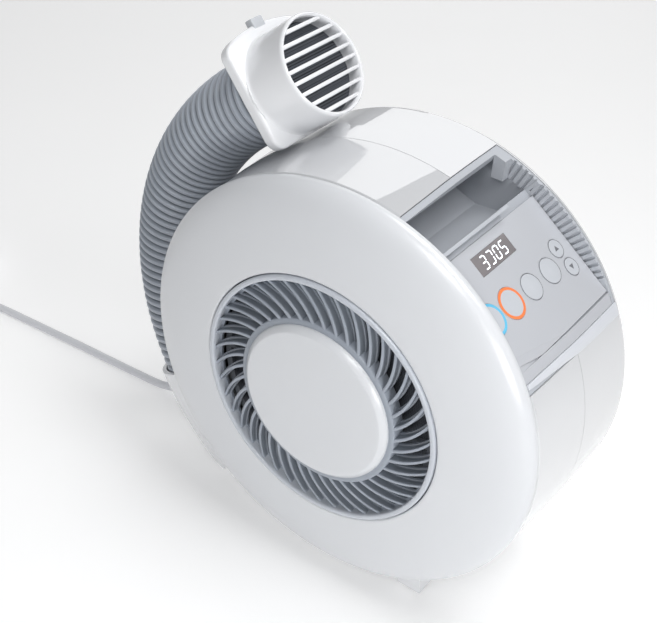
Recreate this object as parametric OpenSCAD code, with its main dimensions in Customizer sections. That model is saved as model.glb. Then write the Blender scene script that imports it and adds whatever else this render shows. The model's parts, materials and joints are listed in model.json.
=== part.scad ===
// Round warm-air dryer for boots, shoes and bedding.
// A drum stands on its rim.  A corrugated hose leaves a socket at the lower left, follows the
// rim and ends in a square-collared nozzle that is parked over the top of the drum.  The air
// intake is the round grille in the front cover; the controls are in a recess in the rim.
// Axes: X to the right, Y to the back, Z up.  Origin: bottom centre of the standing dryer.

/* [Drum] */
// Outer radius of the drum's rim at the back
rim_r = 151; // [148:0.5:154]
// Outer radius of the rim where it meets the front cover
rim_front_r = 147; // [146:0.5:149]
// Distance from the cover's outer edge to the back of the drum
drum_depth = 114; // [112:1:118]
// Distance from the cover's outer edge to the joint between the two shells
part_line = 53.7; // [50:0.1:58]
// Wall thickness of the shells
shell_t = 2.8; // [2.4:0.1:3.2]
// Height of the drum's axis above the floor
axis_h = 160; // [160:1:163]

/* [Front cover and grille] */
// Radius of the front cover
cover_r = 147.5; // [147:0.5:149]
// How far the grille's bezel stands in front of the cover's edge
bezel_fwd = 17.8; // [16:0.1:20]
// Outer radius of the grille's bezel
bezel_r = 89; // [86:0.5:92]
// Radius of the centre cap
cap_r = 56; // [52:0.5:58]
// How far the centre cap stands in front of the cover's edge
cap_fwd = 24; // [22:0.5:26]
// Number of grille vanes
vane_count = 42; // [36:1:48]

/* [Control recess] */
// Distance of the control panel from the drum's axis
panel_off = 139.3; // [138:0.1:141]
// Direction in which the panel faces, in degrees above the +X axis
panel_dir = 53.7; // [52:0.1:56]
// Rim angle of the recess's lower end
recess_lo = 26; // [25.5:0.5:27]
// Rim angle of the recess's upper end, where the grip bar is
recess_hi = 76.4; // [75:0.1:78]
// Depth from the cover's edge to the recess's ribbed back wall
band_rear = 106.4; // [104:0.2:107]
// Number of ribs on the recess's back wall
band_ribs = 25; // [20:1:26]
// Travel of the keys
key_travel = 0.6; // [0.4:0.1:0.8]

/* [Hose and nozzle] */
// Outer radius of the hose
hose_r = 28.5; // [27:0.5:29]
// Radius of the hose's centre line around the drum's axis
hose_orbit = 183; // [183:0.5:186]
// Depth of the hose's centre line behind the cover's edge
hose_y = 54; // [52:1:56]
// Rim angle of the socket's mouth
socket_deg = 209; // [207:1:211]
// Tilt of the parked nozzle above the horizontal
nozzle_tilt = 40; // [38:1:42]
// Straight length of hose in front of the nozzle's collar
hose_lead = 31; // [30:1:36]
// Half width of the nozzle's square collar
collar_half = 37.5; // [36:0.5:38]
// Outer radius of the nozzle's round tube
tube_r = 33; // [31:0.5:33]
// Length of the nozzle's round tube
tube_len = 34; // [30:1:40]
// Number of slats in the nozzle's mouth
slat_count = 8; // [6:1:10]
// Bend that each of the hose's four bending places can take, outwards
bend_max = 14; // [10:1:15]

/* [Power cord] */
// Diameter of the power cord
cord_d = 6.4; // [6:0.2:7]
// Mean diameter of the stored coil of cord
coil_d = 72; // [66:1:78]

/* [Hidden] */
$fn = 96;
// Place of the drum's axis: it centres the whole object on the origin
rear_out = drum_depth + 2;
drum_x = (hose_orbit + hose_r - rim_r) / 2;
drum_y = (cap_fwd - rear_out) / 2;
shell_split = 0.3;
clear = 0.3;
// Control recess, in the panel's own frame: s runs down the panel, h points out of it
panel_s0 = -19.6;
panel_s1 = 54.8;
panel_front = -4.2;
panel_t = 2;
ledge_s = -25.4;
strip_deg = [28.9, 31.8];
grip_bar_deg = 2;
back_t = 1.2;
rib_h = 1.5;
liner_t = 2.4;
key_r = 10.2;
key_gap = 0.25;
key_pos = [[21, 6], [21, 27.6], [21.7, 50.5], [22, 73], [14.4, 90.3], [28.9, 91.8]];
key_rad = [10.2, 10.2, 8.6, 8.6, 6.2, 6];
window_s = [-13.3, -0.4];
window_y = [22.3, 60.5];
// Hand space behind the grip bar, as an outline in X and Z around the drum's axis
hand_space = [[40.6, 146.5], [38.5, 140], [15, 134], [8, 124], [11, 108], [28, 101.5],
    [46, 103], [59.8, 124.6], [61.9, 127.4], [76.2, 147], [60, 165], [46, 165]];
// Hose and nozzle
arc_end = 90 + nozzle_tilt;
link_gap = 2.4;
link_deg = [201, 183, 165, 147];
hose_wall = 3;
socket_r = 33;
socket_end = 235;
collar_t = 10;
collar_corner = 9;
tube_wall = 2.4;
foot_top = 2.6;
mouth_x = hose_orbit * cos(arc_end) + (hose_lead + collar_t) * cos(nozzle_tilt);
mouth_z = hose_orbit * sin(arc_end) + (hose_lead + collar_t) * sin(nozzle_tilt);
// Air works
impeller_r = 66;
scroll_r = 80;
scroll_grow = 18;
shaft_r = 4;
// Cord: the gland points to the left, low on the socket
gland_x = -160;
gland_y = 66;
gland_z = -150.5;
gland_len = 26;
cord_r = cord_d / 2;
// Floor points of the cord's route, around the drum's axis and relative to the floor
cord_route = [[-186, 66, 9.5], [-192, 65.9, 9.1], [-198, 65.6, 7.9], [-204, 65.3, 6.3],
    [-210, 64.9, 4.8], [-216, 64.4, 3.6], [-224, 63.7, 3.2], [-236, 62.7, 3.2], [-252, 61.5, 3.2],
    [-270, 60.3, 3.2], [-290, 59, 3.2], [-310, 57.6, 3.2], [-330, 56, 3.2], [-350, 54.4, 3.2],
    [-370, 52.8, 3.2], [-390, 51.2, 3.2], [-408, 49.2, 3.2], [-424, 46.2, 3.2],
    [-438, 42, 3.2], [-450, 36, 3.2], [-459, 29.6, 3.2]];
coil_x = -487;
coil_y = 62;
coil_turn_w = 3;
coil_h = 3;

// ---------- helpers ----------
module drum() translate([drum_x, drum_y, axis_h]) children();
// Turns a shape so that its own Z runs along the drum's axis, to the back
module spin() rotate([-90, 0, 0]) children();
// Turned ring between two radii and two depths
module ring(r0, r1, y0, y1) {
    spin() translate([0, 0, y0]) difference() {
        cylinder(r = r1, h = y1 - y0);
        translate([0, 0, -1]) cylinder(r = r0, h = y1 - y0 + 2);
    }
}
module disc(r, y0, y1) spin() translate([0, 0, y0]) cylinder(r = r, h = y1 - y0);
// Extrudes an outline drawn in X and Z from one depth to another
module slab(y0, y1) translate([0, y1, 0]) rotate([90, 0, 0]) linear_extrude(height = y1 - y0) children();
// Pie slice in X and Z, between two rim angles
module slice(a0, a1, r = 175) {
    steps = ceil((a1 - a0) / 20);
    polygon(concat([[0, 0]],
        [for (i = [0 : steps]) let (a = a0 + (a1 - a0) * i / steps) [r * cos(a), r * sin(a)]]));
}
// The panel's frame: x down the panel, y to the back, z out of the panel
module on_panel() rotate([0, 90 - panel_dir, 0]) translate([0, 0, panel_off]) children();
module on_key(i) on_panel() translate([key_pos[i].x, key_pos[i].y, 0]) children();
// The nozzle's frame: x out of the mouth, z away from the drum
module on_nozzle() translate([mouth_x, hose_y, mouth_z]) rotate([0, -nozzle_tilt, 0]) children();
module tube_x(r, x0, x1) translate([x0, 0, 0]) rotate([0, 90, 0]) cylinder(r = r, h = x1 - x0);
// Stretch of the hose's circular centre line, between two rim angles
module hose_arc(a0, a1, r) {
    spin() rotate_extrude(angle = a1 - a0, start = -a1, $fn = 120)
        translate([hose_orbit, hose_y]) circle(r = r, $fn = 64);
}
function rim_at(y) = rim_front_r + (rim_r - 0.5 - rim_front_r) * min(1, y / part_line);
// Depth of the dished cover at radius r
function dish(r) = let (u = max(0, (r - bezel_r) / (cover_r - bezel_r)))
    -bezel_fwd + 8 * pow(u, 1.5) + (bezel_fwd - 9) * (1 - sqrt(max(0, 1 - pow(u, 6))));

// ---------- shells ----------
module recess_cut(y0, y1) slab(y0, y1) slice(recess_lo, recess_hi);
// Opening in the rim that lets the warm air into the socket
module socket_air_cut() slab(hose_y - 24, hose_y + 24) slice(212, 226);
module front_shell() color("white") drum() difference() {
    spin() rotate_extrude($fn = 180) polygon([
        [rim_at(0) - 8, 1.4], [rim_at(1) - 1.2, 1.4], [rim_at(3), 3.2],
        [rim_at(part_line), part_line - shell_split], [rim_at(part_line) - shell_t, part_line - shell_split],
        [rim_at(5) - shell_t, 4.2], [rim_at(0) - 8, 4.2]]);
    recess_cut(-10, part_line + 1);
    slab(1, 4.5) slice(recess_hi - 1, recess_hi + 7, rim_front_r - shell_t);
    socket_air_cut();
}
module rear_shell() color("white") drum() difference() {
    spin() rotate_extrude($fn = 180) polygon(concat(
        [[rim_r - shell_t - 0.5, part_line], [rim_r - 0.5, part_line], [rim_r, part_line + 20]],
        [for (a = [0 : 15 : 90]) [rim_r - 7 + 7 * cos(a), drum_depth - 7 + 7 * sin(a)]],
        [[70, drum_depth], [66, rear_out], [0, rear_out], [0, rear_out - shell_t],
        [65, rear_out - shell_t], [69, drum_depth - shell_t], [rim_r - 7.5, drum_depth - shell_t],
        [rim_r - shell_t - 0.4, drum_depth - 7]]));
    recess_cut(part_line - 1, band_rear + back_t + clear);
    socket_air_cut();
    for (p = screw_spots) translate([p.x, 0, p.y]) disc(2.2, drum_depth - 6, drum_depth + 6);
    for (p = screw_spots) translate([p.x, 0, p.y]) disc(4.6, drum_depth - 1.2, drum_depth + 6);
}
screw_spots = [for (a = [45, 135, 225, 315]) [118 * cos(a - 12), 118 * sin(a - 12)]];
module front_cover() color("white") drum() difference() {
    spin() rotate_extrude($fn = 180) polygon(concat(
        [for (i = [0 : 16]) let (r = bezel_r + clear + (cover_r - bezel_r - clear) * (1 - pow(1 - i / 16, 2)))
            [r, dish(r)]],
        [[cover_r, 1], [cover_r - 2.4, 1]],
        [for (i = [16 : -1 : 0]) let (r = bezel_r + clear + (cover_r - 3.2 - bezel_r - clear) * (1 - pow(1 - i / 16, 2)))
            [r, dish(r + 0.8) + 2.4]]));
}
// Low housing at the left: the hose plugs into it and it is the drum's left foot
module hose_socket() color("white") drum() difference() {
    union() {
        hose_arc(socket_deg, socket_end, socket_r);
        translate([gland_x, gland_y, gland_z]) tube_x(6.8, 0, 22);
    }
    hose_arc(socket_deg - 3, 222, hose_r + 1.2);
    ring(0, rim_r + 0.1, -5, 130);
    translate([-260, -20, -axis_h - 100]) cube([260, 160, 100 + foot_top]);
    slab(hose_y - 24, hose_y + 24) slice(211, 224, 178);
    translate([gland_x, gland_y, gland_z]) tube_x(5, -2, 25);
}
module right_foot() color("white") drum() difference() {
    slab(15, 98) polygon([[48, -130], [57.5, -axis_h + foot_top], [76, -axis_h + foot_top], [72, -120]]);
    ring(0, rim_r + 0.1, -5, 130);
}
module foot_pads() color("dimgray") drum() {
    for (p = [[-122, 38], [-122, 72], [66.5, 25], [66.5, 88]])
        translate([p.x, p.y, -axis_h]) cylinder(r = 6.5, h = foot_top);
}
module shell_screws() color("silver") drum() {
    for (p = screw_spots) translate([p.x, 0, p.y]) {
        disc(4.3, drum_depth - 1.2, drum_depth - 0.2);
        disc(2.1, drum_depth - 14, drum_depth - 1.2);
    }
}

// ---------- control recess ----------
// Everything of the recess stays behind the cover's rolled edge
module cover_edge_cut() ring(cover_r - 6, 200, -20, 1.5);
function rib_start(a) = a > 60.5 ? 137.6 : panel_off / cos(a - panel_dir) - 1;
// Upright ribs of the back wall, in X and Z, from number first on
module wall_ribs(first) for (i = [first : band_ribs - 1]) let (a = 31.4 + i * 1.72)
    rotate(a) translate([rib_start(a), -1.3]) square([rim_r + 2 - rib_start(a), 2.6]);
module corner_post() polygon([[39.5, 129], [48, 129], [48, 160], [39.5, 160]]);
// Everything inside the rim's surface, less a margin
module under_rim(d) spin() rotate_extrude($fn = 180) polygon([[0, -20], [rim_at(0) - d, -20], [rim_at(0) - d, 0],
    [rim_at(part_line) - d, part_line], [rim_r - d, part_line + 20], [rim_r - d, 130], [0, 130]]);
module recess_liner() color("lightslategray") drum() difference() {
    intersection() {
        under_rim(0.6);
        liner_body();
    }
    slab(panel_front + liner_t, band_rear - 8) polygon(hand_space);
    slab(band_rear - 8.1, band_rear - rib_h) difference() {
        polygon(hand_space);
        corner_post();
    }
    slab(band_rear - rib_h - 0.1, band_rear) difference() {
        polygon(hand_space);
        corner_post();
        wall_ribs(14);
    }
    on_panel() translate([ledge_s - 0.4, 68, -2.1]) cube([panel_s0 - ledge_s + 0.6, band_rear - 68 - rib_h - 0.2, 12]);
    on_panel() translate([panel_s0 - 0.2, panel_front + liner_t - 0.1, -panel_t - 0.1])
        cube([80, band_rear - 1.6 - panel_front - liner_t, 14]);
    slab(1.2, band_rear - 1.6) difference() {
        slice(strip_deg[0] - 0.3, strip_deg[1] + 2);
        circle(r = rim_r - 7.7);
    }
    for (i = [0 : len(key_pos) - 1]) on_key(i) translate([0, 0, -8]) cylinder(r = 1.9, h = 8, $fn = 32);
    cover_edge_cut();
}
module liner_body() {
    intersection() {
        slab(panel_front, band_rear + back_t) offset(delta = liner_t) polygon(hand_space);
        slab(-20, 130) {
            circle(r = rim_front_r - shell_t - 0.5);
            intersection() {
                circle(r = rim_r + 3);
                slice(recess_lo + 0.1, recess_hi - 0.1);
            }
        }
    }
    slab(1.6, band_rear + back_t) intersection() {
        slice(recess_hi - grip_bar_deg, recess_hi - 0.15);
        difference() {
            circle(r = rim_r + 3);
            circle(r = rim_r - 10);
        }
    }
    on_panel() translate([ledge_s + 1, panel_front + 0.5, -4.4])
        cube([47.5 - ledge_s - 1, band_rear - panel_front, 2.2]);
    on_panel() translate([ledge_s + 0.6, panel_front + 0.8, -3])
        cube([panel_s0 - ledge_s - 0.8, band_rear - panel_front - 0.4, 3]);
    slab(band_rear, band_rear + back_t) intersection() {
        slice(recess_lo + 0.15, recess_hi - 0.2);
        difference() {
            circle(r = rim_r + 3);
            rotate(panel_dir) translate([-200, -100]) square([200 + panel_off - 6, 200]);
        }
    }
    slab(1.5, band_rear + back_t) intersection() {
        slice(recess_lo + 0.2, 35.5);
        difference() {
            circle(r = rim_r + 3);
            circle(r = rim_r - 10.5);
        }
    }
    slab(band_rear - rib_h, band_rear + 0.2) difference() {
        wall_ribs(0);
        polygon(hand_space);
    }
}
// Flat plate with a narrow strip below it that follows the rim
module control_panel() color("silver") drum() difference() {
    intersection() {
        under_rim(0.7);
        union() {
            on_panel() translate([panel_s0, panel_front + liner_t, -panel_t])
                cube([panel_s1 - panel_s0, band_rear - 2 - panel_front - liner_t, panel_t]);
            slab(1.6, band_rear - 2) intersection() {
                slice(strip_deg[0], strip_deg[1]);
                difference() {
                    circle(r = rim_r + 3);
                    circle(r = rim_r - 7.4);
                }
            }
            slab(1.7, band_rear - 2.1) intersection() {
                slice(strip_deg[1] - 0.5, 33.5);
                difference() {
                    circle(r = 146.4);
                    circle(r = rim_r - 7.2);
                }
            }
        }
    }
    for (i = [0 : len(key_pos) - 1]) on_key(i) translate([0, 0, -5]) cylinder(r = key_rad[i] + key_gap, h = 10);
    on_panel() translate([window_s[0], window_y[0], -5]) cube([window_s[1] - window_s[0], window_y[1] - window_y[0], 10]);
    cover_edge_cut();
}
module display_window() color("dimgray") drum() on_panel()
    translate([window_s[0] + 0.1, window_y[0] + 0.1, -1.4])
        cube([window_s[1] - window_s[0] - 0.2, window_y[1] - window_y[0] - 0.2, 1.4]);
// One seven-segment digit; lit names its lit bars, from the top one clockwise, the middle last
module digit(lit, w = 4.6, h = 8.4, t = 1) {
    bars = [[0, h / 2, 0], [w / 2, h / 4, 90], [w / 2, -h / 4, 90], [0, -h / 2, 0],
        [-w / 2, -h / 4, 90], [-w / 2, h / 4, 90], [0, 0, 0]];
    for (i = lit) translate([bars[i].x, bars[i].y, 0]) rotate(bars[i].z)
        translate([-(w - t) / 2 + 0.15, -t / 2, 0]) cube([w - t - 0.3, t, 0.3]);
}
module display_digits() color("white") drum() on_panel() {
    shown = [[0, 1, 2, 3, 6], [0, 1, 2, 3], [0, 1, 2, 3, 4, 5], [0, 2, 3, 5, 6]];
    for (i = [0 : 3]) translate([(window_s[0] + window_s[1]) / 2, window_y[0] + 7.6 + i * 7.8, -1.7])
        rotate(90) digit(shown[i]);
}
module circuit_board() color("darkgreen") drum() on_panel() {
    translate([-12, 0, -15.6]) cube([62, 98, 1.6]);
    for (p = key_pos) translate([p.x - 3, p.y - 3, -14]) cube([6, 6, 4]);
    translate([-10.5, window_y[0] + 2, -14]) cube([9, 30, 5]);
}
module key(i, tint) color(tint) drum() on_key(i) {
    translate([0, 0, -1.5]) cylinder(r = key_rad[i], h = 2);
    translate([0, 0, -9.2]) cylinder(r = 1.5, h = 8);
}
module key_power() key(0, "lightskyblue");
module key_stop() key(1, "coral");
module key_temperature() key(2, "gainsboro");
module key_timer() key(3, "gainsboro");
module key_up() key(4, "gainsboro");
module key_down() key(5, "gainsboro");

// ---------- air works inside the drum ----------
function scroll(a) = scroll_r + scroll_grow * a / 360;
module scroll_outline(grow = 0) polygon([for (a = [0 : 12 : 348]) let (r = scroll(a) + grow)
    [r * cos(-a - 110), r * sin(-a - 110)]]);
module scroll_housing() color("gainsboro") drum() difference() {
    slab(14, 66) scroll_outline();
    slab(16.4, 63.6) scroll_outline(-2.4);
    disc(52, 10, 20);
    disc(12, 60, 70);
    slab(20, 60) polygon([[-40, -60], [-5, -60], [-5, -110], [-40, -110]]);
}
module inlet_ring() color("gainsboro") drum() {
    ring(50, 58, 11, 13.9);
    ring(50, 51.9, 13.9, 19);
}
module outlet_duct() color("gainsboro") drum() difference() {
    slab(24, 84) polygon([[-4, -84], [-4, -122], [-50, -134], [-96, -110], [-112, -92], [-100, -76],
        [-60, -100], [-44, -98], [-44, -84]]);
    slab(26.4, 81.6) polygon([[-6.4, -70], [-6.4, -119.6], [-50, -131], [-94, -108], [-120, -80],
        [-98.6, -73], [-60, -102.8], [-41.6, -100.8], [-41.6, -70]]);
    ring(0, scroll_r + 1.2, 0, 67);
    slab(0, 67) scroll_outline(0.2);
}
module in_duct() drum() translate([-65.1, 28, -122.4]) rotate([0, 27.5, 0]) children();
module heater_frame() color("khaki") in_duct() difference() {
    translate([-14, 0, 0]) cube([14, 52, 18.4]);
    translate([-15, 2, 2]) cube([16, 48, 14.4]);
}
module heater_element() color("silver") in_duct()
    for (i = [0 : 14]) translate([-12, 3.4 + i * 3.14, 2]) cube([10, 1.2, 14.4]);
module thermal_cutout() color("black") drum() translate([-60, 84.2, -112]) spin() {
    cylinder(r = 8, h = 4);
    translate([0, 0, 4]) cylinder(r = 5, h = 4);
}
module motor_bracket() color("silver") drum() difference() {
    union() {
        ring(8, 44, 66, 68);
        for (a = [0, 120, 240]) rotate([0, a, 0]) translate([40, 66, -6]) cube([34, 2, 12]);
    }
    disc(12, 60, 70);
}
module motor_can() color("dimgray") drum() difference() {
    union() {
        disc(30, 68.4, 104);
        disc(11.8, 62, 68.4);
    }
    disc(shaft_r + 0.05, 60, 98);
}
module motor_shaft() color("silver") drum() disc(shaft_r, 30, 97.8);
module impeller() color("lightgray") drum() {
    difference() {
        disc(impeller_r, 56, 58);
        disc(shaft_r + 0.02, 50, 60);
    }
    difference() {
        disc(10, 40, 56);
        disc(shaft_r + 0.02, 30, 60);
    }
    ring(54, impeller_r, 20.6, 22.4);
    slab(22.4, 56) for (i = [0 : 35]) rotate(i * 10) polygon([[55, 0], [58.5, 1.6], [62, 4.2],
        [65.6, 8], [64.6, 8.9], [61.2, 5.4], [57.8, 2.8], [54.6, 1.2]]);
}

// ---------- twist-off intake grille ----------
module grille_bezel() color("lightgray") drum() spin() rotate_extrude($fn = 120) polygon([
    [83.2, -bezel_fwd + 1.6], [84.4, -bezel_fwd - 1], [87.6, -bezel_fwd - 1.2], [bezel_r, -bezel_fwd],
    [bezel_r, -bezel_fwd + 9], [83.2, -bezel_fwd + 9]]);
// One swept vane, drawn in X and Z: it turns by vane_turn degrees on its way out to the bezel
vane_turn = 18.5;
vane_half = 1;
function vane_pt(r, side) = let (a = vane_turn * pow((r - 55) / 28.6, 1.35) + side * vane_half / r * 57.3)
    [r * cos(a), r * sin(a)];
module vane() {
    stations = [55.5, 60, 65, 70, 75, 79.5, 83.1];
    polygon(concat([for (i = [0 : 6]) vane_pt(stations[i], -1)], [for (i = [6 : -1 : 0]) vane_pt(stations[i], 1)]));
}
module intake_vanes() color("lightslategray") drum() {
    slab(-bezel_fwd, -bezel_fwd + 9) for (i = [0 : vane_count - 1]) rotate(i * 360 / vane_count) vane();
    ring(cap_r - 4, cap_r - 0.4, -bezel_fwd - 1, -bezel_fwd + 9);
}
module center_cap() color("white") drum() spin() rotate_extrude($fn = 120) polygon([
    [0, -cap_fwd], [40, -cap_fwd + 0.4], [cap_r - 3, -cap_fwd + 1.4], [cap_r, -cap_fwd + 4],
    [cap_r, -bezel_fwd - 1], [0, -bezel_fwd - 1]]);
module filter_frame() color("gray") drum() slab(-bezel_fwd + 9.1, -bezel_fwd + 13) {
    difference() {
        circle(r = 82.6);
        circle(r = 78);
    }
    difference() {
        circle(r = 18);
        circle(r = 14);
    }
    for (a = [0 : 60 : 300]) rotate(a) translate([16, -1.5]) square([64, 3]);
}
module filter_mesh() color("darkslategray") drum() ring(10, 82, -bezel_fwd + 13.1, -bezel_fwd + 13.9);

// ---------- hose ----------
// Hose link number i of four, from its bending place to the next one
module hose_link(i) {
    a0 = i < 3 ? link_deg[i + 1] + link_gap / 2 : arc_end;
    difference() {
        hose_arc(a0, link_deg[i] - link_gap / 2, hose_r);
        hose_arc(a0 - 1, link_deg[i] + 1, hose_r - hose_wall);
    }
}
module hose_base() color("lightsteelblue") drum() difference() {
    hose_arc(link_deg[0] + link_gap / 2, socket_deg + 5, hose_r);
    hose_arc(link_deg[0], socket_deg + 6, hose_r - hose_wall);
}
module hose_link_1() color("lightsteelblue") drum() hose_link(0);
module hose_link_2() color("lightsteelblue") drum() hose_link(1);
module hose_link_3() color("lightsteelblue") drum() hose_link(2);
module hose_link_4() color("lightsteelblue") drum() {
    hose_link(3);
    on_nozzle() difference() {
        tube_x(hose_r - 0.2, -collar_t - hose_lead - 1.5, -collar_t);
        tube_x(hose_r - hose_wall + 0.2, -collar_t - hose_lead - 4, 0);
    }
}

// ---------- nozzle ----------
// Collar outline: a rounded square whose outer side is bowed, a little off the tube's centre
collar_bow = 4.3;
collar_mid = 3;
collar_low = -34.3;
module collar_outline() {
    w = collar_half - collar_corner;
    c = collar_corner;
    hi = collar_half - 0.5 - c;
    polygon(concat(
        [for (a = [180 : 15 : 270]) [collar_mid - w + c * cos(a), collar_low + c + c * sin(a)]],
        [for (a = [270 : 15 : 360]) [collar_mid + w + c * cos(a), collar_low + c + c * sin(a)]],
        [for (a = [0 : 15 : 75]) [collar_mid + w + c * cos(a), hi + c * sin(a)]],
        [for (i = [5 : -1 : -5]) [collar_mid + i / 5 * w, hi + c + collar_bow * (1 - pow(i / 5 * w / (w + 3), 2))]],
        [for (a = [105 : 15 : 165]) [collar_mid - w + c * cos(a), hi + c * sin(a)]]));
}
module nozzle_head() color("white") drum() on_nozzle() difference() {
    union() {
        translate([-collar_t, 0, 0]) rotate([90, 0, 90]) linear_extrude(height = collar_t) collar_outline();
        rotate([0, 90, 0]) cylinder(r1 = tube_r + 1, r2 = tube_r - 0.02, h = 4);
        tube_x(tube_r, 4, tube_len);
    }
    tube_x(tube_r - tube_wall, -collar_t + 3, tube_len + 1);
    tube_x(hose_r - hose_wall, -collar_t - 1, 0);
    translate([-6.7, -3.4, 36.6]) cube([6.4, 10.8, 10]);
}
module nozzle_slats() color("white") drum() on_nozzle() intersection() {
    tube_x(tube_r - tube_wall, 20, tube_len + 1);
    union() {
        for (i = [0 : slat_count - 1])
            translate([tube_len - 6, -40, (i - (slat_count - 1) / 2) * 7.4 - 1.15]) cube([5, 80, 2.3]);
        translate([tube_len - 8, -40, -40]) difference() {
            cube([2, 80, 80]);
            translate([-1, 40, 40]) tube_x(tube_r - tube_wall - 1.6, 0, 5);
        }
    }
}
module nozzle_screen() color("darkslategray") drum() on_nozzle() tube_x(tube_r - tube_wall - 0.05, 22, 22.8);
module release_button() color("lightslategray") drum() on_nozzle()
    translate([-6.5, -3.2, 38.3]) cube([6, 10.4, 6.9]);

// ---------- power cord ----------
module cord_gland() color("gainsboro") drum() translate([gland_x, gland_y, gland_z]) {
    tube_x(4.9, -1, 10);
    tube_x(6.3, -4, 0);
    rotate([0, -90, 0]) translate([0, 0, 4]) cylinder(r1 = 5.2, r2 = cord_r + 0.9, h = gland_len - 4);
}
// Tube swept along the route: a ring of points at each route point
module route_tube(route, r, sides = 8) {
    n = len(route);
    along = [for (i = [0 : n - 1]) let (d = route[min(i + 1, n - 1)] - route[max(i - 1, 0)]) d / norm(d)];
    rings = [for (i = [0 : n - 1]) let (side = cross([0, 0, 1], along[i]) / norm(cross([0, 0, 1], along[i])),
        up = cross(along[i], side))
        for (k = [0 : sides - 1]) let (a = 360 * k / sides) route[i] + r * (cos(a) * side + sin(a) * up)];
    walls = [for (i = [0 : n - 2], k = [0 : sides - 1]) let (a = i * sides + k, b = i * sides + (k + 1) % sides)
        [b, a, a + sides, b + sides]];
    polyhedron(rings, concat(walls, [[for (k = [0 : sides - 1]) k],
        [for (k = [sides - 1 : -1 : 0]) (n - 1) * sides + k]]));
}
module power_cord() color("gainsboro") translate([drum_x, drum_y, 0]) route_tube(cord_route, cord_r);
module cord_coil() color("gainsboro") translate([drum_x + coil_x, drum_y + coil_y, 0]) rotate_extrude($fn = 64)
    translate([coil_d / 2 - coil_turn_w * cord_r, 0]) square([2 * coil_turn_w * cord_r, coil_h * cord_d]);
// The plug lies on the coil, its pins to the left
module on_coil() translate([drum_x + coil_x - 29.5, drum_y + coil_y - 29.6, coil_h * cord_d]) children();
module plug_body() color("gainsboro") on_coil() {
    translate([-13, -10, 0]) cube([26, 20, 17]);
    translate([12.5, 0, 8.5]) rotate([0, 90, 0]) cylinder(r1 = 6, r2 = 4.1, h = 17);
}
module plug_pins() color("silver") on_coil()
    for (s = [-1, 1]) translate([-30, s * 6.35 - 0.75, 5.35]) cube([17, 1.5, 6.3]);

front_shell();
rear_shell();
front_cover();
hose_socket();
right_foot();
foot_pads();
recess_liner();
control_panel();
display_window();
display_digits();
circuit_board();
key_power();
key_stop();
key_temperature();
key_timer();
key_up();
key_down();
scroll_housing();
inlet_ring();
outlet_duct();
heater_frame();
heater_element();
thermal_cutout();
motor_can();
motor_bracket();
motor_shaft();
impeller();
grille_bezel();
intake_vanes();
center_cap();
filter_frame();
filter_mesh();
hose_base();
hose_link_1();
hose_link_2();
hose_link_3();
hose_link_4();
nozzle_head();
nozzle_slats();
nozzle_screen();
release_button();
shell_screws();
cord_gland();
power_cord();
cord_coil();
plug_body();
plug_pins();
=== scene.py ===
import bpy, bmesh, math, json
from mathutils import Vector, Matrix


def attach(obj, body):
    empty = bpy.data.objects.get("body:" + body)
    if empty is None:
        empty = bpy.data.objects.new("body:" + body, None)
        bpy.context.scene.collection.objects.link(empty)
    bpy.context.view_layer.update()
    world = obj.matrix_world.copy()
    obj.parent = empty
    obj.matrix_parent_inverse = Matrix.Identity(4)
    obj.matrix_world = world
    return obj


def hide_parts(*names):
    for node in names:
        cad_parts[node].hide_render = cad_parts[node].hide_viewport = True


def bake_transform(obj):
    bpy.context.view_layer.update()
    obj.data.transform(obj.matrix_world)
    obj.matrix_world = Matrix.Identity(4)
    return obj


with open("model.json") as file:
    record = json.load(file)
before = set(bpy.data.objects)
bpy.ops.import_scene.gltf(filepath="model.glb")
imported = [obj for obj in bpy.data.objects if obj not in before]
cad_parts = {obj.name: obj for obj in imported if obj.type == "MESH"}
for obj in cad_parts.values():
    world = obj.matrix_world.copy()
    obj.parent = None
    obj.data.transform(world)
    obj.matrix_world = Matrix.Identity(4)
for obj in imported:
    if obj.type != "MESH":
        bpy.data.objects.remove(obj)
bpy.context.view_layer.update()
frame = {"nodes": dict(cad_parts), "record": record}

MM = 0.001

# Drum coordinates: millimetres, x right, y to the back, z up, from the point where the drum's axis
# meets the plane of the front cover's edge.
DRUM = Vector((0.03025, -0.046, 0.160))
RIM_R, FRONT_R, PART_LINE = 151.0, 147.0, 53.7
COVER_R, BEZEL_R, BEZEL_FWD, CAP_FWD = 147.5, 89.0, 17.8, 24.0
PANEL_DIR, PANEL_OFF = 53.7, 139.3             # degrees above +x, millimetres from the axis
HOSE_ORBIT, HOSE_R, HOSE_Y = 183.0, 28.5, 54.0
HOSE_START = 214.0                             # degrees round the drum, inside the socket
TILT = math.radians(40)                        # of the straight end of the hose and the nozzle
HOSE_END = 90 + math.degrees(TILT)

scene = bpy.context.scene
scene.view_settings.view_transform = "Standard"
scene.view_settings.look = "None"
scene.view_settings.exposure = 0.0
scene.view_settings.gamma = 1.0


def W(x, y, z):
    """Drum coordinates in millimetres to the row frame in metres."""
    return DRUM + Vector((x, y, z)) * MM


# ------------------------------------------------------------------ camera
CAM_AT = (322.3006, -487.5936, 491.7418)
CAM_RIGHT = (0.80231905, 0.59412001, 0.05749395)
CAM_UP = (-0.39104882, 0.45041368, 0.8026259)
CAM_BACK = (0.45096005, -0.66644499, 0.5937054)
cam_data = bpy.data.cameras.new("camera")
cam_data.sensor_width = 36.0
cam_data.lens = 64.843
cam = bpy.data.objects.new("camera", cam_data)
scene.collection.objects.link(cam)
turned = Matrix((CAM_RIGHT, CAM_UP, CAM_BACK)).transposed().to_4x4()
cam.matrix_world = Matrix.Translation(W(*CAM_AT)) @ turned
cam_data.clip_start, cam_data.clip_end = 0.05, 20.0
scene.camera = cam


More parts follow.
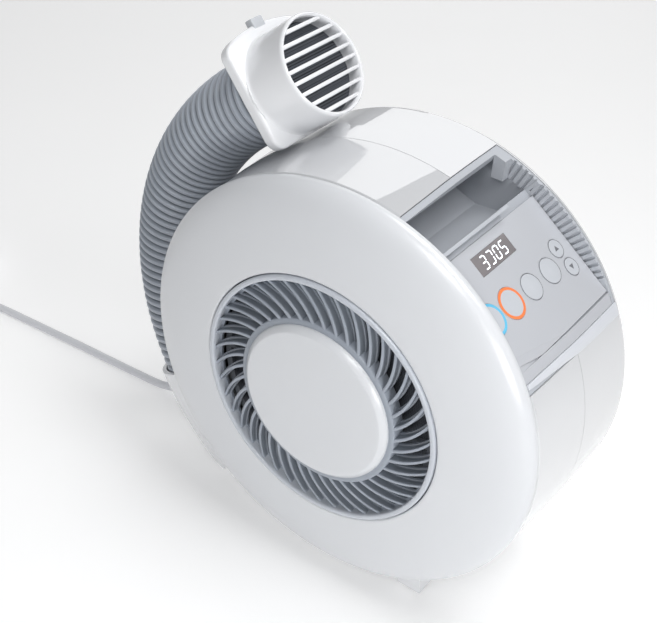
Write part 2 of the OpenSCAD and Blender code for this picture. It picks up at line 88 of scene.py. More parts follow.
# ------------------------------------------------------------------ materials
FLAT = 0.5                                     # pointiness of a flat surface
DEEP = 0.44                                    # pointiness at the bottom of a groove
SOFT_GRAIN, TIGHT_GRAIN = 900.0, 1600.0


def new_mat(name):
    m = bpy.data.materials.new(name)
    m.use_nodes = True
    nt = m.node_tree
    return m, nt, nt.nodes["Principled BSDF"]


def node(nt, kind, **inputs):
    """A new shader node with the named inputs set; underscores stand for spaces."""
    n = nt.nodes.new("ShaderNode" + kind)
    for key, value in inputs.items():
        n.inputs[key.replace("_", " ")].default_value = value
    return n


def mix_color(nt, factor, a, b):
    """Blends a into b by factor; a and b are sockets or plain colours."""
    n = nt.nodes.new("ShaderNodeMix")
    n.data_type = "RGBA"
    for index, value in ((0, factor), (6, a), (7, b)):
        if isinstance(value, (tuple, list)):
            n.inputs[index].default_value = (*value, 1)
        else:
            nt.links.new(value, n.inputs[index])
    return n.outputs[2]


def plastic(name, color, rough=0.3, vary=0.015, grain=SOFT_GRAIN, grain_bump=0.02, wear_and_highlight=0.0,
            wear_and_highlight_to=0.62, wear_and_highlight_gain=1.25, groove_shade=0.0, coat=0.0, coat_ior=1.5, coat_rough=0.06,
            spec=0.5, metallic=0.0, bevel=0.0, rough_vary=0.06, emit=0.0):
    """Moulded plastic or painted metal: fine grain, slow colour drift, paler edges, darker grooves,
    uneven gloss. The paler edges are wear on most parts and a painted highlight on the hose's ribs
    and the vanes' edges; the darker grooves are painted shade.
    """
    m, nt, b = new_mat(name)
    coord = node(nt, "TexCoord").outputs["Object"]
    slow = node(nt, "TexNoise", Scale=14.0, Detail=4.0)
    fine = node(nt, "TexNoise", Scale=grain, Detail=3.0)
    nt.links.new(coord, slow.inputs["Vector"])
    nt.links.new(coord, fine.inputs["Vector"])
    dark = [max(0.0, c * (1 - 2 * vary)) for c in color]
    light = [min(1.0, c * (1 + vary)) for c in color]
    last = mix_color(nt, slow.outputs["Fac"], dark, light)
    # paler convex edges: wear on most parts that use this, and a painted highlight on the hose's
    # rib crests and the vanes' blade edges
    if wear_and_highlight > 0:
        point = node(nt, "NewGeometry").outputs["Pointiness"]
        edge = node(nt, "MapRange", From_Min=FLAT, From_Max=wear_and_highlight_to)
        nt.links.new(point, edge.inputs["Value"])
        amount = nt.nodes.new("ShaderNodeMath")
        amount.operation = "MULTIPLY"
        amount.inputs[1].default_value = wear_and_highlight
        nt.links.new(edge.outputs["Result"], amount.inputs[0])
        pale = [min(1.0, c * wear_and_highlight_gain + 0.03) for c in color]
        last = mix_color(nt, amount.outputs[0], last, pale)
        # painted shade: the bottoms of the hose's grooves are darkened
        if groove_shade > 0:
            groove_shade_mask = node(nt, "MapRange", From_Min=FLAT, From_Max=DEEP, To_Max=groove_shade)
            nt.links.new(point, groove_shade_mask.inputs["Value"])
            last = mix_color(nt, groove_shade_mask.outputs["Result"], last, [c * 0.3 for c in color])
    nt.links.new(last, b.inputs["Base Color"])
    gloss = node(nt, "MapRange", To_Min=max(0.02, rough - rough_vary),
                 To_Max=min(1.0, rough + rough_vary))
    nt.links.new(slow.outputs["Fac"], gloss.inputs["Value"])
    nt.links.new(gloss.outputs["Result"], b.inputs["Roughness"])
    bump = node(nt, "Bump", Strength=grain_bump, Distance=0.0002)
    nt.links.new(fine.outputs["Fac"], bump.inputs["Height"])
    if bevel > 0:
        round_edge = node(nt, "Bevel", Radius=bevel)
        round_edge.samples = 4
        nt.links.new(round_edge.outputs["Normal"], bump.inputs["Normal"])
    nt.links.new(bump.outputs["Normal"], b.inputs["Normal"])
    b.inputs["Metallic"].default_value = metallic
    b.inputs["Specular IOR Level"].default_value = spec
    if coat > 0:
        b.inputs["Coat Weight"].default_value = coat
        b.inputs["Coat Roughness"].default_value = coat_rough
        b.inputs["Coat IOR"].default_value = coat_ior
    if emit > 0:
        nt.links.new(last, b.inputs["Emission Color"])
        b.inputs["Emission Strength"].default_value = emit
    return m


def mesh_screen(name, color, gap_color, pitch=0.0012):
    """Woven mesh: two crossed sets of threads over a dark ground, with bump."""
    m, nt, b = new_mat(name)
    coord = node(nt, "TexCoord").outputs["Object"]
    top = nt.nodes.new("ShaderNodeMath")
    top.operation = "MAXIMUM"
    for index, direction in enumerate(("X", "Z")):
        wave = node(nt, "TexWave", Scale=0.314 / pitch, Distortion=0.15)
        wave.wave_type, wave.bands_direction, wave.wave_profile = "BANDS", direction, "SIN"
        nt.links.new(coord, wave.inputs["Vector"])
        nt.links.new(wave.outputs["Fac"], top.inputs[index])
    nt.links.new(mix_color(nt, top.outputs[0], gap_color, color), b.inputs["Base Color"])
    bump = node(nt, "Bump", Strength=0.6, Distance=0.0003)
    nt.links.new(top.outputs[0], bump.inputs["Height"])
    nt.links.new(bump.outputs["Normal"], b.inputs["Normal"])
    b.inputs["Roughness"].default_value = 0.6
    return m


def glow(name, color, strength):
    """Lit segments, slightly uneven in brightness."""
    m, nt, b = new_mat(name)
    coord = node(nt, "TexCoord").outputs["Object"]
    grain = node(nt, "TexNoise", Scale=2500.0)
    nt.links.new(coord, grain.inputs["Vector"])
    level = node(nt, "MapRange", To_Min=strength * 0.85, To_Max=strength * 1.1)
    nt.links.new(grain.outputs["Fac"], level.inputs["Value"])
    nt.links.new(level.outputs["Result"], b.inputs["Emission Strength"])
    b.inputs["Base Color"].default_value = (*color, 1)
    b.inputs["Emission Color"].default_value = (*color, 1)
    b.inputs["Roughness"].default_value = 0.4
    return m


PLASTICS = {
    # the white outside
    "body_white": dict(color=(0.80, 0.81, 0.83), rough=0.22, vary=0.008, grain_bump=0.012,
                       coat=0.35, bevel=0.0006),
    # the same white plastic as body_white, set darker as painted shade; the low base also lets the
    # coat's reflections stand out
    "rim_white": dict(color=(0.60, 0.61, 0.63), rough=0.3, vary=0.006, grain_bump=0.004,
                      coat=1.0, coat_ior=2.6, coat_rough=0.015, bevel=0.0006),
    # the same white plastic as body_white, set darker as painted shade; also used on the centre cap
    "cover_white": dict(color=(0.66, 0.675, 0.70), rough=0.32, vary=0.006, grain_bump=0.008,
                        coat=0.5, coat_ior=1.6, coat_rough=0.2),
    "nozzle_white": dict(color=(0.80, 0.81, 0.83), rough=0.25, vary=0.008, grain_bump=0.01,
                         coat=0.4),
    "bezel_grey": dict(color=(0.52, 0.55, 0.60), rough=0.25, coat=0.3),
    # vanes: their edges paled by the edge mask as a painted highlight
    "vane_grey": dict(color=(0.20, 0.222, 0.257), rough=0.3, wear_and_highlight=0.8, grain_bump=0.05,
                      wear_and_highlight_to=0.56, wear_and_highlight_gain=1.7),
    # hose: rib crests paled as a painted highlight, groove bottoms darkened as painted shade
    "hose_grey": dict(color=(0.27, 0.295, 0.335), rough=0.36, vary=0.03, grain_bump=0.1,
                      wear_and_highlight=0.9, wear_and_highlight_to=0.545, wear_and_highlight_gain=1.6, groove_shade=0.75),
    "cord_grey": dict(color=(0.66, 0.67, 0.70), rough=0.45, grain_bump=0.1),
    "pad_rubber": dict(color=(0.06, 0.06, 0.065), rough=0.75, grain_bump=0.2, spec=0.3),
    # the recess and its panel
    "recess_grey": dict(color=(0.42, 0.44, 0.475), rough=0.42, vary=0.03, grain_bump=0.12,
                        wear_and_highlight=0.25, bevel=0.0005),
    "lip_grey": dict(color=(0.62, 0.64, 0.68), rough=0.3, vary=0.01, grain_bump=0.04, coat=0.3),
    "panel_silver": dict(color=(0.54, 0.555, 0.59), rough=0.33, vary=0.02, grain=TIGHT_GRAIN,
                         grain_bump=0.08, metallic=0.15, bevel=0.0002),
    "display_smoke": dict(color=(0.215, 0.20, 0.205), rough=0.22, coat=0.3),
    "key_face": dict(color=(0.51, 0.53, 0.565), rough=0.32, grain=TIGHT_GRAIN, grain_bump=0.06),
    "key_blue": dict(color=(0.13, 0.50, 0.74), rough=0.4, vary=0.03, grain_bump=0.05, wear_and_highlight=0.1),
    "key_orange": dict(color=(0.86, 0.22, 0.07), rough=0.4, vary=0.03, grain_bump=0.05, wear_and_highlight=0.1),
    "print_grey": dict(color=(0.16, 0.165, 0.18), rough=0.5, vary=0.05),
    "button_grey": dict(color=(0.52, 0.54, 0.57), rough=0.35, vary=0.02, grain_bump=0.06,
                        wear_and_highlight=0.3),
    # the inside
    "board_green": dict(color=(0.02, 0.12, 0.05), rough=0.45, vary=0.2),
    "inner_plastic": dict(color=(0.55, 0.55, 0.54), rough=0.5, grain_bump=0.1, wear_and_highlight=0.2),
    "heater_frame": dict(color=(0.42, 0.36, 0.22), rough=0.6, vary=0.08, grain_bump=0.15),
    "heater_fins": dict(color=(0.6, 0.6, 0.62), rough=0.35, metallic=0.9),
    "motor_dark": dict(color=(0.03, 0.03, 0.033), rough=0.4, wear_and_highlight=0.4),
    "bare_steel": dict(color=(0.5, 0.5, 0.52), rough=0.3, metallic=1.0, vary=0.05),
    "filter_grey": dict(color=(0.14, 0.15, 0.17), rough=0.6),
    "pin_brass": dict(color=(0.72, 0.58, 0.32), rough=0.25, metallic=1.0, vary=0.04),
}
M = {name: plastic(name, **look) for name, look in PLASTICS.items()}
M["filter_mesh"] = mesh_screen("filter_mesh", (0.10, 0.11, 0.13), (0.01, 0.01, 0.012))
M["digit_white"] = glow("digit_white", (0.9, 0.95, 1.0), 0.9)

for sp in frame["record"]["subparts"]:
    o = frame["nodes"][sp["node"]]
    o.data.materials.clear()
    o.data.materials.append(M[sp["material_slot"]])
for n in ("front_shell", "rear_shell"):
    frame["nodes"][n].data.materials[0] = M["rim_white"]


# ------------------------------------------------------------------ mesh helpers
def make(name, verts, faces, mat, body, slot, smooth=True, sharp=None):
    me = bpy.data.meshes.new(name)
    me.from_pydata([tuple(v) for v in verts], [], faces)
    me.validate()
    bm = bmesh.new()
    bm.from_mesh(me)
    bmesh.ops.recalc_face_normals(bm, faces=bm.faces)
    bm.to_mesh(me)
    bm.free()
    o = bpy.data.objects.new(name, me)
    scene.collection.objects.link(o)
    me.materials.append(mat)
    for p in me.polygons:
        p.use_smooth = smooth
    if sharp is not None:
        me.set_sharp_from_angle(angle=math.radians(sharp))
    if body:
        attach(o, body)
    return o


def ring_faces(rows, n, closed_rows=True, closed_n=True, start=0):
    """Quads between rows of n points each; the rows, and each row, may close on themselves."""
    out = []
    for i in range(rows if closed_rows else rows - 1):
        for k in range(n if closed_n else n - 1):
            a, b = start + i * n, start + ((i + 1) % rows) * n
            nxt = (k + 1) % n
            out.append((a + k, a + nxt, b + nxt, b + k))
    return out


def merge_parts(parts):
    """One list of verts and one of faces from several (verts, faces) pairs."""
    verts, faces = [], []
    for part_verts, part_faces in parts:
        base = len(verts)
        verts += part_verts
        faces += [tuple(base + k for k in face) for face in part_faces]
    return verts, faces


def lathe(name, profile, mat, body, slot, n=256, sharp=35):
    """Turned ring; profile: points (radius, depth) in drum millimetres, round the drum's axis."""
    verts = []
    for i in range(n):
        a = 2 * math.pi * i / n
        for r, y in profile:
            verts.append(W(r * math.cos(a), y, r * math.sin(a)))
    return make(name, verts, ring_faces(n, len(profile)), mat, body, slot, sharp=sharp)


# ------------------------------------------------------------------ power cord
CORD_R = 3.2
CORD_OUT = [(-186, 66, 9.5), (-192, 65.9, 9.1), (-198, 65.6, 7.9), (-204, 65.3, 6.3),
            (-210, 64.9, 4.8), (-216, 64.4, 3.6), (-224, 63.7, 3.2), (-236, 62.7, 3.2),
            (-252, 61.5, 3.2), (-270, 60.3, 3.2), (-290, 59, 3.2), (-310, 57.6, 3.2),
            (-330, 56, 3.2), (-350, 54.4, 3.2), (-370, 52.8, 3.2), (-390, 51.2, 3.2),
            (-408, 49.2, 3.2), (-424, 46.2, 3.2), (-438, 42, 3.2), (-450, 36, 3.2)]
COIL_AT, COIL_R, COIL_FROM = (-487.0, 62.0), 42.4, -49.2
COIL_STEP = 15.0
# degrees turned, change of radius, change of height: flat spirals in and out, one on another,
# and a last lift to the plug
COIL_RUNS = [(720, -12.8, 0), (60, 0, 6.4), (720, 12.8, 0), (60, 0, 6.4), (720, -12.8, 0),
             (180, 0, 0), (100.8, 0, 11.7)]


def coil_point(degrees, radius, z):
    a = math.radians(degrees)
    return (COIL_AT[0] + radius * math.cos(a), COIL_AT[1] + radius * math.sin(a), z)


def coil_points():
    """The cord wound clockwise round the coil, easing its radius and height."""
    angle, radius, z = COIL_FROM, COIL_R, CORD_R
    out = [coil_point(angle, radius, z)]
    for degrees, dr, dz in COIL_RUNS:
        count = int(round(degrees / COIL_STEP))
        for k in range(1, count + 1):
            t = k / count
            out.append(coil_point(angle - degrees * t, radius + dr * t,
                                  z + dz * t * t * (3 - 2 * t)))
        angle, radius, z = angle - degrees, radius + dr, z + dz
    return out


route = CORD_OUT + coil_points()
cord_curve = bpy.data.curves.new("power_cord_lead", "CURVE")
cord_curve.dimensions = "3D"
cord_curve.bevel_depth = CORD_R * MM
cord_curve.bevel_resolution = 5
cord_curve.resolution_u = 4
spline = cord_curve.splines.new("POLY")
# route points have their heights above the floor
pts = [Vector((DRUM.x + x * MM, DRUM.y + y * MM, z * MM)) for x, y, z in route]
spline.points.add(len(pts) - 1)
for p, q in zip(spline.points, pts):
    p.co = (*q, 1)
spline.use_smooth = True
cord = bpy.data.objects.new("power_cord_lead", cord_curve)
scene.collection.objects.link(cord)
cord_curve.materials.append(M["cord_grey"])
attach(cord, "housing")
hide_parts("power_cord", "cord_coil")


# ------------------------------------------------------------------ corrugated hose
PITCH = 6.35
RIB_DEPTH, HOSE_WALL = 3.9, 4.6
HOSE_SIDES, RIB_STEPS, LINER_STEPS = 72, 12, 4
HOSE_STRAIGHT = 31.0                           # beyond the arc, into the collar


def on_orbit(degrees):
    a = math.radians(degrees)
    return Vector((HOSE_ORBIT * math.cos(a), HOSE_Y, HOSE_ORBIT * math.sin(a)))


def s_at(degrees):
    """Arc length along the hose at an angle round the drum."""
    return math.radians(HOSE_START - degrees) * HOSE_ORBIT


ARC_LEN = s_at(HOSE_END)


def hose_point(s):
    """Centre line of the hose: point and tangent at arc length s from HOSE_START."""
    if s <= ARC_LEN:
        a = math.radians(HOSE_START) - s / HOSE_ORBIT
        return on_orbit(math.degrees(a)), Vector((math.sin(a), 0, -math.cos(a)))
    t = Vector((math.cos(TILT), 0, math.sin(TILT)))
    return on_orbit(HOSE_END) + t * (s - ARC_LEN), t


def hose_ring(s, r):
    """One round of points of radius r, square to the centre line at s."""
    c, t = hose_point(s)
    side = Vector((0, 1, 0))
    up = t.cross(side)
    angles = (2 * math.pi * i / HOSE_SIDES for i in range(HOSE_SIDES))
    return [W(*(c + (side * math.cos(a) + up * math.sin(a)) * r)) for a in angles]


def hose_piece(name, s0, s1):
    """Corrugated tube from s0 to s1 with a plain inner wall and closed ends."""
    n = HOSE_SIDES
    first, final = (round(s / PITCH * RIB_STEPS) for s in (s0, s1))
    stations = [k * PITCH / RIB_STEPS for k in range(first, final + 1)]
    verts = []
    for s in stations:
        rib = min(1.0, 1.12 * abs(math.sin(math.pi * s / PITCH))) ** 0.75
        verts += hose_ring(s, HOSE_R - RIB_DEPTH + RIB_DEPTH * rib)
    outer, base = len(stations), len(verts)
    inside = stations[::LINER_STEPS]
    if (outer - 1) % LINER_STEPS:
        inside = inside + [stations[-1]]
    for s in inside:
        verts += hose_ring(s, HOSE_R - HOSE_WALL)
    faces = ring_faces(outer, n, False) + ring_faces(len(inside), n, False, True, base)
    far_out, far_in = (outer - 1) * n, base + (len(inside) - 1) * n
    for i in range(n):
        j = (i + 1) % n
        faces.append((i, base + i, base + j, j))
        faces.append((far_out + i, far_out + j, far_in + j, far_in + i))
    return make(name, verts, faces, M["hose_grey"], None, "hose_grey")


for i, (top, bottom, a, b, nodes) in enumerate([
        (HOSE_START, 192.0, "housing", "hose_1", ("hose_base", "hose_link_1")),
        (192.0, 174.0, "hose_1", "hose_2", ("hose_link_2",)),
        (174.0, 156.0, "hose_2", "hose_3", ("hose_link_3",)),
        (156.0, None, "hose_3", "hose_4", ("hose_link_4",))], 1):
    s1 = s_at(bottom) if bottom else ARC_LEN + HOSE_STRAIGHT
    h = hose_piece(f"hose_corrugated_{i}", s_at(top), s1)
    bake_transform(h)
    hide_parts(*nodes)


# ------------------------------------------------------------------ front cover, bezel, cap
COVER_STEPS = 48


def dish(r):
    """Depth of the cover's face: out from the bezel it falls back slowly, then rolls over."""
    u = max(0.0, (r - BEZEL_R) / (COVER_R - BEZEL_R))
    roll = 1 - math.sqrt(max(0.0, 1 - u ** 6))
    return -BEZEL_FWD + 8 * u ** 1.5 + (BEZEL_FWD - 9) * roll


def cover_profile():
    r0 = BEZEL_R + 0.5
    r1 = r0 + 1.6
    edge = [(r0, -BEZEL_FWD + 3.0), (r0 + 0.15, -BEZEL_FWD + 0.9), (r0 + 0.7, -BEZEL_FWD + 0.15)]
    radii = [r1 + (COVER_R - r1) * (1 - (1 - k / COVER_STEPS) ** 2)
             for k in range(COVER_STEPS + 1)]
    back = [(COVER_R, 0.4), (COVER_R - 0.3, 0.9), (COVER_R - 2.4, 1.0), (COVER_R - 6, -5.2),
            (COVER_R - 20, -9.2), (r0 + 6, -14.2), (r0, -14.6)]
    return edge + [(r, dish(r)) for r in radii] + back


BEZEL_PROFILE = [(BEZEL_R, -9), (BEZEL_R, -17.5), (88.8, -18.3), (88.3, -18.8), (87.6, -19.0),
                 (86.3, -19.0), (85.7, -18.8), (85.3, -18.2), (85.2, -17.0), (85.2, -9)]
# radius, depth behind the cap's foremost plane
CAP_PROFILE = [(0.0, -0.15), (8, -0.14), (20, -0.05), (34, 0.12), (46, 0.4), (51.2, 0.6),
               (51.9, 0.68), (52.4, 0.95), (55.2, 3.3), (55.75, 4.1), (55.9, 5.0),
               (55.9, CAP_FWD - BEZEL_FWD - 1), (0.0, CAP_FWD - BEZEL_FWD - 1)]

cover = lathe("front_cover_dished", cover_profile(), M["cover_white"], "housing", "body_white",
              sharp=50)
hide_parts("front_cover")
bezel = lathe("grille_bezel_rolled", BEZEL_PROFILE, M["bezel_grey"], "intake_grille",
              "bezel_grey", sharp=60)
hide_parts("grille_bezel")
cap = lathe("center_cap_domed", [(r, y - CAP_FWD) for r, y in CAP_PROFILE], M["cover_white"],
            "intake_grille", "body_white", sharp=28)
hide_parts("center_cap")

# ------------------------------------------------------------------ swirled vanes
VANES, TURN = 42, 16.5                         # count, degrees each one sweeps round
VANE_IN, VANE_OUT, VANE_STEPS = 55.4, 85.6, 16
PLATE_FRONT, PLATE_BACK = -12.4, -10.6
HUB_PROFILE = [(52.5, -8.9), (52.5, -18.9), (56.6, -18.9), (59.4, -18.8), (59.9, -18.2),
               (60.0, -9), (57, -8.9)]
TIE_PROFILE = [(83.4, PLATE_FRONT), (VANE_OUT, PLATE_FRONT), (VANE_OUT, PLATE_BACK),
               (83.4, PLATE_BACK)]


def vane_angle(r):
    return TURN * ((r - 55) / 28.6) ** 1.2


def vane_section(t):
    """Half of a blade's section, front to back, at t from its inner to its outer end."""
    front = -18.7 + 2.2 * t ** 1.6
    foot = 1.9 + 0.7 * t
    return [(0.95, front + 0.02), (1.25, front + 0.3), (1.4, front + 0.9),
            (1.1, PLATE_FRONT - 0.3), (foot, PLATE_FRONT), (foot, PLATE_BACK)]


def vane_mesh():
    """Thin curved blades standing on a slotted plate."""
    verts, faces = [], []
    for v in range(VANES):
        base = len(verts)
        for k in range(VANE_STEPS + 1):
            t = k / VANE_STEPS
            r = VANE_IN + (VANE_OUT - VANE_IN) * t
            half = vane_section(t)
            section = [(-x, y) for x, y in half] + half[::-1]
            for x, y in section:
                a = math.radians(vane_angle(r) + v * 360 / VANES) + x / r
                verts.append(W(r * math.cos(a), y, r * math.sin(a)))
        n = len(section)
        faces += ring_faces(VANE_STEPS + 1, n, False, True, base)
        last = base + VANE_STEPS * n
        faces += [tuple(range(base, base + n)), tuple(range(last, last + n))]
    return verts, faces


vanes = make("intake_vanes_swirled", *vane_mesh(), M["vane_grey"], "intake_grille", "vane_grey",
             sharp=50)
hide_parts("intake_vanes")
lathe("vane_hub_ring", HUB_PROFILE, M["vane_grey"], "intake_grille", "vane_grey", sharp=50)
lathe("vane_outer_ring", TIE_PROFILE, M["vane_grey"], "intake_grille", "vane_grey", sharp=50)


# ------------------------------------------------------------------ nozzle
MOUTH_OUT = 41.0                               # from the end of the hose's arc
MOUTH = on_orbit(HOSE_END) + Vector((math.cos(TILT), 0, math.sin(TILT))) * MOUTH_OUT
COLLAR_HALF, COLLAR_CORNER, COLLAR_BOW, COLLAR_MID, COLLAR_LOW = 37.5, 9.0, 4.3, 3.0, -34.3
TUBE_R = 33.0
NOZZLE_SIDES = 160
# collar: distance along the nozzle, share of the collar's outline
COLLAR_STATIONS = [(-10.0, 0.93), (-9.7, 0.965), (-9.0, 0.985), (-8.0, 0.99), (-3.4, 1.0),
                   (-2.4, 0.998), (-1.6, 0.985), (-1.1, 0.968), (-0.9, 0.95)]
# tube: distance along the nozzle, radius; out over the mouth and back inside
TUBE_STATIONS = [(0.0, TUBE_R + 1.1), (0.3, TUBE_R + 0.9), (1.0, TUBE_R + 0.35),
                 (2.2, TUBE_R + 0.1), (4.0, TUBE_R), (30.5, TUBE_R), (32.4, TUBE_R + 0.1),
                 (33.4, TUBE_R - 0.2), (34.0, TUBE_R - 0.8), (34.0, 31.4), (33.4, 30.8),
                 (32.0, 30.6), (20.0, 30.6), (-6.8, 30.4), (-7.0, 26.0)]
SLATS, SLAT_PITCH, SLAT_AT, SLAT_REACH = 8, 7.4, 30.6, 30.9


def N(x, y, z):
    """Nozzle frame: x out of the mouth, z away from the drum."""
    return W(MOUTH.x + x * math.cos(TILT) - z * math.sin(TILT), MOUTH.y + y,
             MOUTH.z + x * math.sin(TILT) + z * math.cos(TILT))


def arc(cx, cy, r, degrees):
    return [(cx + r * math.cos(math.radians(a)), cy + r * math.sin(math.radians(a)))
            for a in degrees]


def collar_outline():
    """Square with round corners and a bowed top, as (y, z) points."""
    c = COLLAR_CORNER
    w, high, low = COLLAR_HALF - c, COLLAR_HALF - 0.5 - c, COLLAR_LOW + c
    left, right = COLLAR_MID - w, COLLAR_MID + w
    bow = [(COLLAR_MID + k / 10 * w,
            high + c + COLLAR_BOW * (1 - (k / 10 * w / (w + 3)) ** 2)) for k in range(10, -11, -1)]
    return (arc(left, low, c, range(180, 271, 9)) + arc(right, low, c, range(270, 361, 9))
            + arc(right, high, c, range(0, 73, 9)) + bow + arc(left, high, c, range(102, 172, 9)))


def ray_radius(outline, a):
    """Distance from the nozzle's axis to the outline in the direction a."""
    d = Vector((math.cos(a), math.sin(a)))
    best = math.inf
    for p, q in zip(outline, outline[1:] + outline[:1]):
        e = Vector((q[0] - p[0], q[1] - p[1]))
        den = d.x * e.y - d.y * e.x
        if abs(den) < 1e-9:
            continue
        t = (p[0] * e.y - p[1] * e.x) / den
        u = (p[0] * d.y - p[1] * d.x) / den
        if t > 0 and -1e-6 <= u <= 1 + 1e-6:
            best = min(best, t)
    return best


def nozzle_shell():
    """Collar, the blend from it to the tube, and the tube, as one closed skin."""
    n = NOZZLE_SIDES
    outline = collar_outline()
    rho = [ray_radius(outline, 2 * math.pi * k / n) for k in range(n)]
    rows = [[(COLLAR_STATIONS[0][0], 26.0)] * n]
    rows += [[(x, r * share) for r in rho] for x, share in COLLAR_STATIONS]
    for x, f in ((-0.55, 0.6), (-0.1, 0.2)):
        rows.append([(x, max(r * 0.95 * f + 34.3 * (1 - f), 34.25 + 0.1 * f)) for r in rho])
    rows += [[(x, r)] * n for x, r in TUBE_STATIONS]
    verts = []
    for row in rows:
        for k, (x, r) in enumerate(row):
            a = 2 * math.pi * k / n
            verts.append(N(x, r * math.cos(a), r * math.sin(a)))
    return verts, ring_faces(len(rows), n)


def rounded_bar(centre, length, height, depth, r, steps=3):
    """Bar along y in the nozzle frame, with rounded long edges and slightly drawn-in ends."""
    dx, dz = depth / 2 - r, height / 2 - r
    section = []
    for cx, cz, start in ((dx, dz, 0), (-dx, dz, 90), (-dx, -dz, 180), (dx, -dz, 270)):
        section += arc(cx, cz, r, [start + 90 * k / steps for k in range(steps + 1)])
    verts = []
    half = length / 2
    for e, shrink in ((-half, 0.9), (0.3 - half, 1.0), (half - 0.3, 1.0), (half, 0.9)):
        for x, z in section:
            verts.append(N(centre[0] + x * shrink, centre[1] + e, centre[2] + z * shrink))
    m = len(section)
    return verts, (ring_faces(4, m, False) + [tuple(range(m)), tuple(range(3 * m, 4 * m))])


nozzle = make("nozzle_head_moulded", *nozzle_shell(), M["nozzle_white"], "hose_4", "body_white",
              sharp=42)
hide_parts("nozzle_head")
slats = []
for k in range(SLATS):
    z = (k - (SLATS - 1) / 2) * SLAT_PITCH
    wide = 2 * math.sqrt(SLAT_REACH ** 2 - z * z)
    slats.append(rounded_bar((SLAT_AT, 0, z), wide, 2.5, 4.6, 0.8))
slat_mesh = make("nozzle_slats_rounded", *merge_parts(slats), M["nozzle_white"], "hose_4",
                 "body_white", sharp=50)
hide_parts("nozzle_slats")
button = make("release_button_cap", *rounded_bar((-3.5, 2, 41.75), 10.4, 6.9, 6, 1.0, 4),
              M["button_grey"], "collar_button", "recess_grey", sharp=40)
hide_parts("release_button")

# ------------------------------------------------------------------ keys and display
BETA = math.radians(90 - PANEL_DIR)
# node, body, distance down the panel, depth, radius, ring colour, way its arrow points
KEYS = [("key_power", "power_key", 21, 6, 10.2, "key_blue", 0),
        ("key_stop", "stop_key", 21, 27.6, 10.2, "key_orange", 0),
        ("key_temperature", "temperature_key", 21.7, 50.5, 8.6, None, 0),
        ("key_timer", "timer_key", 22, 73, 8.6, None, 0),
        ("key_up", "up_key", 14.4, 90.3, 6.2, None, -1),
        ("key_down", "down_key", 28.9, 91.8, 6.0, None, 1)]
FACE_H, RING_H, RING_WIDE, RING_THIN = 0.40, 0.50, 1.9, 0.32
STEM_R, STEM_END = 1.5, -9.2


def P(s, y, h):
    """Panel frame: s down the panel, y to the back, h out of it."""
    out = PANEL_OFF + h
    return W(s * math.cos(BETA) + out * math.sin(BETA), y,
             -s * math.sin(BETA) + out * math.cos(BETA))


def panel_lathe(name, s, y, profile, mat, body, slot, n=96):
    verts = []
    for k in range(n):
        a = 2 * math.pi * k / n
        for r, h in profile:
            verts.append(P(s + r * math.cos(a), y + r * math.sin(a), h))
    return make(name, verts, ring_faces(n, len(profile)), mat, body, slot, sharp=50)


for name, body, s, y, r, ring, way in KEYS:
    face = panel_lathe(name + "_cap", s, y, [
        (0, 0.42), (r * 0.5, FACE_H), (r - 1.7, 0.36), (r - 0.5, 0.34), (r - 0.15, 0.22),
        (r, 0.0), (r, -1.5), (STEM_R, -1.5), (STEM_R, STEM_END), (0, STEM_END)],
        M["key_face"], body, "panel_silver")
    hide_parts(name)
    wide = RING_WIDE if ring else RING_THIN
    panel_lathe(name + "_ring", s, y, [
        (r - wide, 0.30), (r - wide + 0.1, 0.47), (r - wide / 2, RING_H), (r - 0.14, 0.46),
        (r - 0.04, 0.20)], M[ring or "print_grey"], body, ring or "panel_silver")
for name, body, s, y, _, _, way in KEYS:
    if way:
        tri = [(s + way * 1.9, y), (s - way * 1.4, y - 2.1), (s - way * 1.4, y + 2.1)]
        verts = [P(a, b, h) for h in (FACE_H, RING_H) for a, b in tri]
        sides = [(0, 1, 4, 3), (1, 2, 5, 4), (2, 0, 3, 5)]
        make(name + "_arrow", verts, [(0, 1, 2), (3, 4, 5)] + sides, M["print_grey"], body,
             "panel_silver", smooth=False)

WINDOW = (-13.2, -0.5, 22.4, 60.4)
WINDOW_CORNER = 0.9


def window_plate():
    """Plate with small round corners and an eased front edge."""
    s0, s1, y0, y1 = WINDOW
    c = WINDOW_CORNER
    corners = ((s1 - c, y1 - c, 0), (s0 + c, y1 - c, 90), (s0 + c, y0 + c, 180),
               (s1 - c, y0 + c, 270))
    verts = []
    for h, inset in ((-1.4, 0.0), (-0.25, 0.0), (-0.08, 0.08), (0.0, 0.3)):
        for cs, cy, start in corners:
            edge = arc(cs, cy, c - inset, [start + 22.5 * k for k in range(5)])
            verts += [P(a, b, h) for a, b in edge]
    return verts, ring_faces(4, 20, False) + [tuple(range(20)), tuple(range(60, 80))]


window = make("display_window_plate", *window_plate(), M["display_smoke"], "housing",
              "display_smoke", sharp=40)
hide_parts("display_window")

# the seven bars of a digit: place across and up in half sizes, whether it stands upright
BARS = [(0, 1, False), (1, 0.5, True), (1, -0.5, True), (0, -1, False), (-1, -0.5, True),
        (-1, 0.5, True), (0, 0, False)]
LIT = [(0, 1, 2, 3, 6), (0, 1, 2, 3), (0, 1, 2, 3, 4, 5), (0, 2, 3, 5, 6)]
DIGIT_W, DIGIT_H, DIGIT_BAR, DIGIT_SLANT = 4.3, 8.0, 0.85, 0.12
DIGIT_FIRST, DIGIT_STEP, DIGIT_MID = 8.6, 7.1, -6.8


